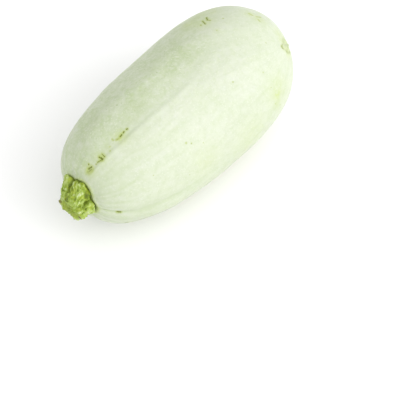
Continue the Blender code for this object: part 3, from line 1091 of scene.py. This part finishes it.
def make_skin():
    share = np.linspace(0, 1, SKIN_RINGS + 1)
    to_poles = RINGS_TO_POLES * np.sin(2 * np.pi * share)
    polar = np.pi * share - to_poles - RINGS_TO_STEM * np.sin(np.pi * share)
    turn = np.linspace(0, 2 * np.pi, SKIN_SEGMENTS, endpoint=False)
    polar, turn = np.meshgrid(polar, turn, indexing="ij")
    grown = direction_at(-np.cos(polar), turn)
    points = fruit_point(grown)
    relief, masks = skin_relief(grown, points)
    points = points + relief[..., None] * outward_normals(points)
    return closed_mesh("marrow_skin", bend_and_set_down(points), masks, skin_look())


def lobe(turn):
    """Five rounded lobes with narrow furrows between them, from 0 to about 1."""
    uneven = 1.0
    for count, phase, share in LOBE_UNEVEN:
        uneven = uneven + share * np.sin(count * turn + phase)
    return np.abs(np.cos(LOBE_COUNT * (turn - LOBE_FIRST_TURN) / 2)) * uneven


def even_turn(turn):
    """Turn that would stand for this one if the furrows were evenly spaced."""
    even = LOBE_FIRST_TURN + 2 * np.pi / LOBE_COUNT * (np.arange(LOBE_COUNT + 1) - 0.5)
    placed = (turn - FURROW_TURNS[0]) % (2 * np.pi) + FURROW_TURNS[0]
    return np.interp(placed, FURROW_TURNS, even)


def stem_radius(share, turn):
    """Radius of the plain stem, share running from 0 at the foot to 1 at the cut."""
    taper = 1 - share ** STEM_TAPER
    core = STEM_CUT_RADIUS + (STEM_FOOT_RADIUS - STEM_CUT_RADIUS) * taper
    height = LOBE_CUT_HEIGHT + (LOBE_FOOT_HEIGHT - LOBE_CUT_HEIGHT) * taper
    pinch = PINCH_DEPTH * bell(share, PINCH_SHARE)
    rounding = np.maximum((share - ROUNDED_FROM) / (1 - ROUNDED_FROM), 0)
    drop = ROUNDED_DEPTH * (1 - np.sqrt(1 - ROUNDED_FULLNESS * rounding ** 2))
    return core + height * lobe(even_turn(turn) + LOBE_TWIST * share) - pinch - drop


def stem_underside(share, turn):
    along = along_at_radius(share * stem_radius(0.0, turn))
    point = fruit_point(direction_at(along, turn))
    point[..., 0] += STEM_SINK
    return point


def stem_side(share, turn, radius):
    foot = stem_underside(1, turn)
    middle = stem_underside(0, 0 * turn)
    ratio = radius / stem_radius(0.0, turn)
    point = middle + (foot - middle) * ratio[..., None]
    point = point + STEM_LEAN * (share ** STEM_LEAN_POWER)[..., None]
    point[..., 0] = foot[..., 0] + (middle[..., 0] - STEM_LENGTH - STEM_SINK - foot[..., 0]) * share
    point[..., 0] += SLANT * np.maximum(np.cos(turn - SLANT_TURN), 0) * share ** 2
    return point


def stem_place(share, degrees):
    """Place on the plain stem's side, from the share of its length and the turn in degrees."""
    share = np.array(float(share))
    turn = np.array(math.radians(degrees))
    return stem_side(share, turn, stem_radius(share, turn))


def lobe_place(share, turn):
    """Angles from the lobe's middle and from the furrow beside it, and a value for each lobe."""
    even = even_turn(turn) + LOBE_TWIST * share - LOBE_FIRST_TURN
    step = 2 * np.pi / LOBE_COUNT
    off_lobe = (even + step / 2) % step - step / 2
    number = np.round(even / step) % LOBE_COUNT
    return off_lobe, step / 2 - np.abs(off_lobe), np.sin(2.4 * number + 0.7)


def band(form, share, own):
    height, place, shift, length = form
    return height * bell(share - place - shift * own, length)


def stem_relief(first, share, turn):
    """Height over the plain side of the stem, and its tone, with painted shade in furrows, pits and
    the crevice at the foot, and painted highlight on raised ribs, knobs and knuckles.
    """
    off_lobe, off_furrow, own = lobe_place(share, turn)

    # Ribs of each lobe, swirling a little, and the waves and knobs of dried flesh
    swirl = off_lobe + RIB_SWIRL * (share - 0.3) + lumps(first, RIB_WANDER)
    ridge = np.abs(np.cos(RIBS_PER_LOBE * LOBE_COUNT * swirl)) ** 0.8
    ribs = RIB_HEIGHT * (2 * ridge - 1) * (0.8 + lumps(first, RIB_UNEVEN))
    knobs = lumps(first, *KNOBS)

    # Pits in the furrows, a knuckle of each lobe by the foot, a waist, and a crevice at the foot
    relief = (ribs + knobs) * smooth_step(0.0, 0.08, share)
    pit_depth = (PIT_DEPTH + PIT_UNEVEN * own) * bell(off_furrow, PIT_WIDTH)
    relief -= pit_depth * band(PIT, share, own)
    relief -= band(WAIST, share, own) + band(CREVICE, share, own)
    relief += band(KNUCKLE, share, own) * np.cos(off_lobe) ** 4

    # Tone: painted shade in the furrows and the crevice at the foot, and painted highlight and
    # shade following the height of ribs, knobs and knuckles
    furrow_shade = bell(off_furrow, FURROW_SHADE_WIDTH)
    tone = TONE - 0.35 * furrow_shade
    tone += LIGHT_AND_SHADE_PER_RIB_HEIGHT * ribs + LIGHT_AND_SHADE_PER_KNOB_HEIGHT * knobs
    tone += band(KNUCKLE_TONE_AND_HIGHLIGHT, share, own) * (1 - furrow_shade) + band(FOOT_CREVICE_SHADE, share, own)

    # Ridges and pits placed one by one
    for start, end, half_width, height, lighter in STEM_FEATURES:
        off = distance_to_line(first, stem_place(*start), stem_place(*end))
        shape = bell(off, half_width * MILLIMETRE)
        relief += height * MILLIMETRE * shape
        tone += lighter * shape
    return relief, tone


def dried_tips(share, turn):
    """Where the dried tips of some lobes stand out at the cut end."""
    tips = np.zeros(share.shape)
    for tip_share, degrees, size in DRY_TIPS:
        spread = bell(angle_between(turn, math.radians(degrees)), TIP_WIDTH)
        tips = np.maximum(tips, size * spread * bell(share - tip_share, TIP_LENGTH))
    return tips


def cut_face(edge, turn):
    """Rings from the edge of the cut to its middle, their share of the way, tone and bundles. The
    tone is lighter where the rough face stands up and darker in its hollows, as painted light and
    shade.
    """
    middle = edge.mean(axis=0)
    inward = np.linspace(0, 1, CUT_FACE_RINGS + 1)[1:, None]
    cut = edge + (middle - edge) * inward[..., None]
    level = middle[0] + (edge[:, 0] - middle[0]) * (1 - smooth_step(0, 0.7, inward))
    rough = lumps(cut, *CUT_ROUGHNESS)
    cut[..., 0] = level + PITH_HOLLOW * smooth_step(0.45, 0.90, inward)
    cut[..., 0] += rough * smooth_step(0, 0.15, inward)
    cut[-1] = cut[-1].mean(axis=0)
    bundles = bell(inward - BUNDLES_AT, 0.12) * (0.5 + 0.5 * np.cos(BUNDLES * turn))
    tone = CUT_TONE + CUT_LIGHT_AND_SHADE_PER_HEIGHT * rough + 0.25 * bundles
    return cut, inward, tone, bundles


def make_stem():
    turn = np.linspace(0, 2 * np.pi, STEM_SEGMENTS, endpoint=False)[None, :]
    side = np.sin(np.linspace(0, np.pi / 2, SIDE_RINGS))[:, None]
    share, round_it = np.broadcast_arrays(side, turn)
    plain = stem_radius(share, round_it)
    first = stem_side(share, round_it, plain)
    relief, tone = stem_relief(first, share, round_it)
    tips = dried_tips(share, round_it)
    points = stem_side(share, round_it, plain + relief + TIP_HEIGHT * tips)
    points[..., 0] -= TIP_REACH * tips
    points[..., 0] += smooth_step(0.6, 1.0, share) * lumps(first, EDGE_UNEVEN)

    under_share = np.linspace(0, 1, UNDERSIDE_RINGS + 1)[:-1, None]
    under = stem_underside(*np.broadcast_arrays(under_share, turn))
    under[0] = under[0].mean(axis=0)
    cut, inward, cut_tone, bundles = cut_face(points[-1], turn)

    none_under = np.zeros(under.shape[:2])
    rounding = np.clip((share - ROUNDED_FROM) / (1 - ROUNDED_FROM), 0, 1)
    cut_colour = smooth_step(0.0, 0.25, inward) + 0 * turn
    lay = round_axis(share * STEM_LENGTH, STEM_LAY_RADIUS, round_it)
    dry = (none_under, TIPS_DRY * tips + 0.08 * rounding, 0.12 + 0.25 * bundles)
    masks = {
        "tone": np.concatenate([none_under, tone, cut_tone]),
        "dry": np.concatenate(dry),
        "cut": np.concatenate([none_under, 0 * share, cut_colour]),
        "lay": np.concatenate([under, lay, cut]),
    }
    grid = bend_and_set_down(np.concatenate([under, points, cut]))
    return closed_mesh("marrow_stem", grid, masks, stem_look())


def make_floor():
    half = 3.0
    mesh = bpy.data.meshes.new("studio_floor")
    corners = [(-half, -half, 0), (half, -half, 0), (half, half, 0), (-half, half, 0)]
    mesh.from_pydata(corners, [], [(0, 1, 2, 3)])
    look = Look("studio_floor")
    tone = look.mix(look.clouds(3, 2, 0.5, 0.3, 0.7), *FLOOR_GREYS)
    look.set(Base_Color=tone, Roughness=0.9, Specular_IOR_Level=0.1)
    mesh.materials.append(look.material)
    floor = bpy.data.objects.new("studio_floor", mesh)
    bpy.context.scene.collection.objects.link(floor)
    return floor


def make_camera():
    level = math.cos(CAMERA_ELEVATION)
    across, ahead = math.sin(CAMERA_AZIMUTH), math.cos(CAMERA_AZIMUTH)
    back = Vector((across * level, -ahead * level, math.sin(CAMERA_ELEVATION)))
    right = Vector((ahead, across, 0))
    up = back.cross(right)
    data = bpy.data.cameras.new("camera")
    data.lens = FOCAL_LENGTH
    data.sensor_width = SENSOR_WIDTH
    data.clip_start, data.clip_end = 0.05, 20
    camera = bpy.data.objects.new("camera", data)
    camera.location = CAMERA_TARGET + back * CAMERA_DISTANCE
    camera.location += right * CAMERA_RIGHT + up * CAMERA_UP
    camera.rotation_euler = (math.pi / 2 - CAMERA_ELEVATION, 0, CAMERA_AZIMUTH)
    bpy.context.scene.collection.objects.link(camera)
    bpy.context.scene.camera = camera


def make_light():
    """A white room whose walls and ceiling glow softly, some sides more than others."""
    world = bpy.data.worlds.new("studio")
    world.use_nodes = True
    nodes = Nodes(world.node_tree)
    direction = nodes.node("TexCoord").outputs["Generated"]
    total = EVEN_GLOW
    for side, tightness, strength in GLOWS:
        towards = Vector(side).normalized()
        facing = nodes.vector_math("DOT_PRODUCT", direction, towards, "Value")
        glow = nodes.math("POWER", nodes.math("MAXIMUM", facing, 0.0), tightness)
        total = nodes.scaled(glow, strength, total)
    background = world.node_tree.nodes["Background"]
    nodes.put(background.inputs["Strength"], total)
    nodes.put(background.inputs["Color"], (1.0, 1.0, 1.0))
    bpy.context.scene.world = world


def main():
    skin = make_skin()
    stem = make_stem()
    for piece, node, slot in ((skin, "fruit", "skin"), (stem, "stem", "stem")):
        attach(piece, "root")
        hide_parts(node)
    make_floor()
    make_camera()
    make_light()
    settings = bpy.context.scene.view_settings
    settings.view_transform = "Standard"
    settings.look = "None"


main()
